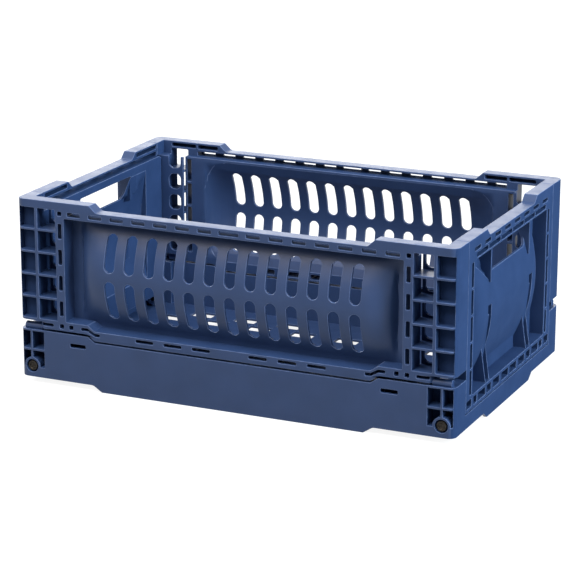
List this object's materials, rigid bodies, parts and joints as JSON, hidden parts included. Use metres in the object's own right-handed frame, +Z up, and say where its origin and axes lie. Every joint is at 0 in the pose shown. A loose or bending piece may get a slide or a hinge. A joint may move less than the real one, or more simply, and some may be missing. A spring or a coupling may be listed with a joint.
{
  "type": "folding crate",
  "caption": "Opened folding plastic crate with ribbed corner columns, slotted bulging side panels and hinged end panels with hand holes.",
  "frame": {"origin": "middle of the crate, level with the lowest edge of the base", "axes": "+X along the length to the right end, +Y from the front to the back, +Z up"},
  "size_m": [0.265, 0.174, 0.1086],
  "materials": {
    "navy_plastic": "satin",
    "pin_metal": "dark oxidised"
  },
  "bodies": {
    "crate": {"base_tray": "navy_plastic", "front_panel": "navy_plastic", "back_panel": "navy_plastic", "front_left_pin": "pin_metal", "front_right_pin": "pin_metal", "back_left_pin": "pin_metal", "back_right_pin": "pin_metal"},
    "left_flap": {"left_end": "navy_plastic"},
    "right_flap": {"right_end": "navy_plastic"}
  },
  "joints": [
    {"name": "right_end_fold", "type": "hinge", "parent": "crate", "child": "right_flap", "pos_m": [0.1251, 0, 0.0102], "axis": [0, -1, 0], "range_deg": [0, 90]},
    {"name": "left_end_fold", "type": "hinge", "parent": "crate", "child": "left_flap", "pos_m": [-0.1251, 0, 0.0102], "axis": [0, 1, 0], "range_deg": [0, 90]}
  ]
}
